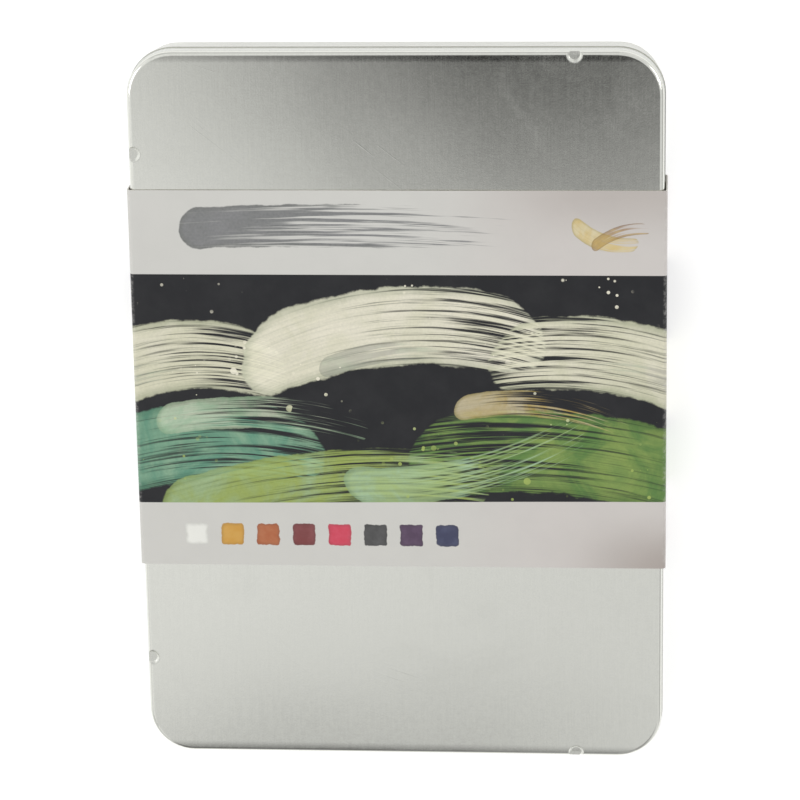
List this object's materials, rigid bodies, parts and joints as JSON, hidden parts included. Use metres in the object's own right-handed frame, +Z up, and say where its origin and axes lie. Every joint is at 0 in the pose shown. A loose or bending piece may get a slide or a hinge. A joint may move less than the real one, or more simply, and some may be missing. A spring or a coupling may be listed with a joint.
{
  "type": "watercolor pencil set",
  "caption": "Flat hinged tinplate box with rounded corners in a printed card sleeve, holding watercolor pencils, paint pans, a brush and drawing tools in a formed tray.",
  "frame": {"origin": "under the middle of the tin, on the plane of the card sleeve's underside", "axes": "+X to the hinge side, +Y along the tin to its upper end as pictured, +Z up through the lid"},
  "size_m": [0.1538, 0.2126, 0.0205],
  "materials": {
    "tinplate": "satin bare tinplate",
    "hinge_wire": "drawn wire",
    "tray_black": "formed black sheet",
    "barrel_paint": "light blue lacquer on cedar",
    "pan_white": "white moulded plastic",
    "brush_hair": "white nylon",
    "ferrule": "polished",
    "brush_handle": "dark green lacquer",
    "sharpener_metal": "milled",
    "blade_steel": "ground",
    "screw_steel": "plated",
    "eraser_rubber": "soft grey putty",
    "wrapper_paper": "white paper",
    "paddle_wood": "sanded plywood",
    "sandpaper": "fine grit",
    "staple_wire": "plated wire",
    "printed_card": "printed and varnished card",
    "lead_1": "matte pigment core",
    "cake_1": "dry pressed paint",
    "lead_2": "matte pigment core",
    "cake_2": "dry pressed paint",
    "lead_3": "matte pigment core",
    "cake_3": "dry pressed paint",
    "lead_4": "matte pigment core",
    "cake_4": "dry pressed paint",
    "lead_5": "matte pigment core",
    "cake_5": "dry pressed paint",
    "lead_6": "matte pigment core",
    "cake_6": "dry pressed paint",
    "lead_7": "matte pigment core",
    "cake_7": "dry pressed paint",
    "lead_8": "matte pigment core",
    "cake_8": "dry pressed paint"
  },
  "bodies": {
    "base": {"tin_base": "tinplate", "hinge_pin_upper": "hinge_wire", "hinge_pin_lower": "hinge_wire", "insert_tray": "tray_black", "brush_hair": "brush_hair", "brush_ferrule": "ferrule", "brush_handle": "brush_handle", "sharpener_body": "sharpener_metal", "sharpener_blade": "blade_steel", "sharpener_screw": "screw_steel", "kneaded_eraser": "eraser_rubber", "eraser_wrapper": "wrapper_paper", "sanding_paddle": "paddle_wood", "sandpaper_pad": "sandpaper", "pad_staple_outer": "staple_wire", "pad_staple_inner": "staple_wire", "pencil_1_barrel": "barrel_paint", "pencil_1_lead": "lead_1", "paint_pan_1": "pan_white", "paint_cake_1": "cake_1", "pencil_2_barrel": "barrel_paint", "pencil_2_lead": "lead_2", "paint_pan_2": "pan_white", "paint_cake_2": "cake_2", "pencil_3_barrel": "barrel_paint", "pencil_3_lead": "lead_3", "paint_pan_3": "pan_white", "paint_cake_3": "cake_3", "pencil_4_barrel": "barrel_paint", "pencil_4_lead": "lead_4", "paint_pan_4": "pan_white", "paint_cake_4": "cake_4", "pencil_5_barrel": "barrel_paint", "pencil_5_lead": "lead_5", "paint_pan_5": "pan_white", "paint_cake_5": "cake_5", "pencil_6_barrel": "barrel_paint", "pencil_6_lead": "lead_6", "paint_pan_6": "pan_white", "paint_cake_6": "cake_6", "pencil_7_barrel": "barrel_paint", "pencil_7_lead": "lead_7", "paint_pan_7": "pan_white", "paint_cake_7": "cake_7", "pencil_8_barrel": "barrel_paint", "pencil_8_lead": "lead_8", "paint_pan_8": "pan_white", "paint_cake_8": "cake_8"},
    "lid": {"tin_lid": "tinplate"},
    "sleeve": {"card_sleeve": "printed_card"}
  },
  "joints": [
    {"name": "lid_hinge", "type": "hinge", "parent": "base", "child": "lid", "pos_m": [0.07485, 0, 0.011], "axis": [0, 1, 0], "range_deg": [0, 120], "deforming": ["card_sleeve"]},
    {"name": "sleeve_slide", "type": "slide", "parent": "base", "child": "sleeve", "axis": [0, 1, 0], "range_m": [0, 0.168]}
  ],
  "couplings": [
    {"joint": "sleeve_slide", "follows": "lid_hinge", "m_per_rad": 0.078782}
  ]
}
